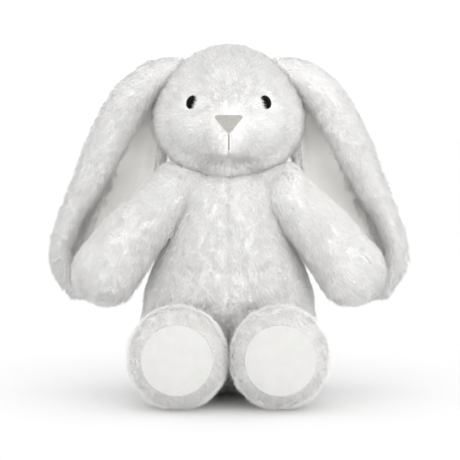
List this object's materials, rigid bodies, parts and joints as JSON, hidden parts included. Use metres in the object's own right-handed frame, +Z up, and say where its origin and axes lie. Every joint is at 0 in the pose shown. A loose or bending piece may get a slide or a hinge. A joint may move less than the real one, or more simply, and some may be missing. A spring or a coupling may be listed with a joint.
{
  "type": "stuffed bunny rabbit",
  "caption": "Seated plush bunny with long drooping lined ears, round feet with smooth sole pads, domed black eyes and an embroidered nose.",
  "frame": {"origin": "centre of the flat seat panel's underside, on the surface that the toy sits on", "axes": "+Z up; the toy faces -Y, and its own left side is at +X"},
  "size_m": [0.2978, 0.202, 0.2896],
  "materials": {
    "fur": "long white pile, brushed",
    "smooth_velour": "short smooth velour",
    "filling": "loose white fibre",
    "pouch_cloth": "plain woven cotton",
    "pellets": "small round granules",
    "seam_thread": "doubled sewing thread",
    "face_thread": "satin-stitched embroidery thread",
    "eye_black": "polished black",
    "washer_plastic": "moulded"
  },
  "bodies": {
    "torso": {"body_front_left_panel": "fur", "body_front_right_panel": "fur", "body_back_left_panel": "fur", "body_back_right_panel": "fur", "seat_panel": "fur", "body_stuffing": "filling", "bean_bag_pouch": "pouch_cloth", "bean_bag_pellets": "pellets", "back_closing_stitches": "seam_thread"},
    "neck_seam": {"neck_seam_thread": "seam_thread"},
    "head": {"head_left_panel": "fur", "head_right_panel": "fur", "head_gusset": "fur", "head_stuffing": "filling", "left_eye": "eye_black", "right_eye": "eye_black", "left_eye_washer": "washer_plastic", "right_eye_washer": "washer_plastic", "nose_embroidery": "face_thread", "mouth_stitch": "face_thread", "left_ear_seam_thread": "seam_thread", "right_ear_seam_thread": "seam_thread"},
    "left_ear": {"left_ear_fur": "fur", "left_ear_lining": "smooth_velour"},
    "right_ear": {"right_ear_fur": "fur", "right_ear_lining": "smooth_velour"},
    "left_shoulder_seam": {"left_shoulder_seam_thread": "seam_thread"},
    "right_shoulder_seam": {"right_shoulder_seam_thread": "seam_thread"},
    "left_arm": {"left_arm_front_panel": "fur", "left_arm_back_panel": "fur", "left_arm_stuffing": "filling"},
    "right_arm": {"right_arm_front_panel": "fur", "right_arm_back_panel": "fur", "right_arm_stuffing": "filling"},
    "left_hip_seam": {"left_hip_seam_thread": "seam_thread"},
    "right_hip_seam": {"right_hip_seam_thread": "seam_thread"},
    "left_leg": {"left_leg_top_panel": "fur", "left_leg_bottom_panel": "fur", "left_foot_pad": "smooth_velour", "left_leg_stuffing": "filling"},
    "right_leg": {"right_leg_top_panel": "fur", "right_leg_bottom_panel": "fur", "right_foot_pad": "smooth_velour", "right_leg_stuffing": "filling"},
    "tail": {"tail_cover": "fur", "tail_stuffing": "filling"}
  },
  "joints": [
    {"name": "neck_turn", "type": "hinge", "parent": "torso", "child": "neck_seam", "pos_m": [0, 0.003, 0.194], "axis": [0, 0, 1], "range_deg": [-8, 8], "stiffness_Nm_per_rad": 0.25},
    {"name": "neck_nod", "type": "hinge", "parent": "neck_seam", "child": "head", "pos_m": [0, 0.003, 0.194], "axis": [1, 0, 0], "range_deg": [-6, 12], "stiffness_Nm_per_rad": 0.6},
    {"name": "left_ear_lift", "type": "hinge", "parent": "head", "child": "left_ear", "pos_m": [0.0404, 0.008, 0.2763], "axis": [0, -1, 0], "range_deg": [0, 100]},
    {"name": "right_ear_lift", "type": "hinge", "parent": "head", "child": "right_ear", "pos_m": [-0.0404, 0.008, 0.2763], "axis": [0, 1, 0], "range_deg": [0, 100]},
    {"name": "left_arm_swing", "type": "hinge", "parent": "torso", "child": "left_shoulder_seam", "pos_m": [0.048, -0.012, 0.163], "axis": [-1, 0, 0], "range_deg": [0, 100]},
    {"name": "left_arm_spread", "type": "hinge", "parent": "left_shoulder_seam", "child": "left_arm", "pos_m": [0.048, -0.012, 0.163], "axis": [0, -1, 0], "range_deg": [0, 50]},
    {"name": "right_arm_swing", "type": "hinge", "parent": "torso", "child": "right_shoulder_seam", "pos_m": [-0.048, -0.012, 0.163], "axis": [-1, 0, 0], "range_deg": [0, 100]},
    {"name": "right_arm_spread", "type": "hinge", "parent": "right_shoulder_seam", "child": "right_arm", "pos_m": [-0.048, -0.012, 0.163], "axis": [0, 1, 0], "range_deg": [0, 50]},
    {"name": "left_leg_swing", "type": "hinge", "parent": "torso", "child": "left_hip_seam", "pos_m": [0.038, -0.03, 0.029], "axis": [-1, 0, 0], "range_deg": [-42, 6]},
    {"name": "left_leg_spread", "type": "hinge", "parent": "left_hip_seam", "child": "left_leg", "pos_m": [0.038, -0.03, 0.029], "axis": [0, 0, 1], "range_deg": [0, 18], "stiffness_Nm_per_rad": 0.1},
    {"name": "right_leg_swing", "type": "hinge", "parent": "torso", "child": "right_hip_seam", "pos_m": [-0.038, -0.03, 0.029], "axis": [-1, 0, 0], "range_deg": [-42, 6]},
    {"name": "right_leg_spread", "type": "hinge", "parent": "right_hip_seam", "child": "right_leg", "pos_m": [-0.038, -0.03, 0.029], "axis": [0, 0, -1], "range_deg": [0, 18], "stiffness_Nm_per_rad": 0.1},
    {"name": "tail_wag", "type": "hinge", "parent": "torso", "child": "tail", "pos_m": [0, 0.066, 0.042], "axis": [0, 0, 1], "range_deg": [-15, 15], "stiffness_Nm_per_rad": 0.02}
  ]
}
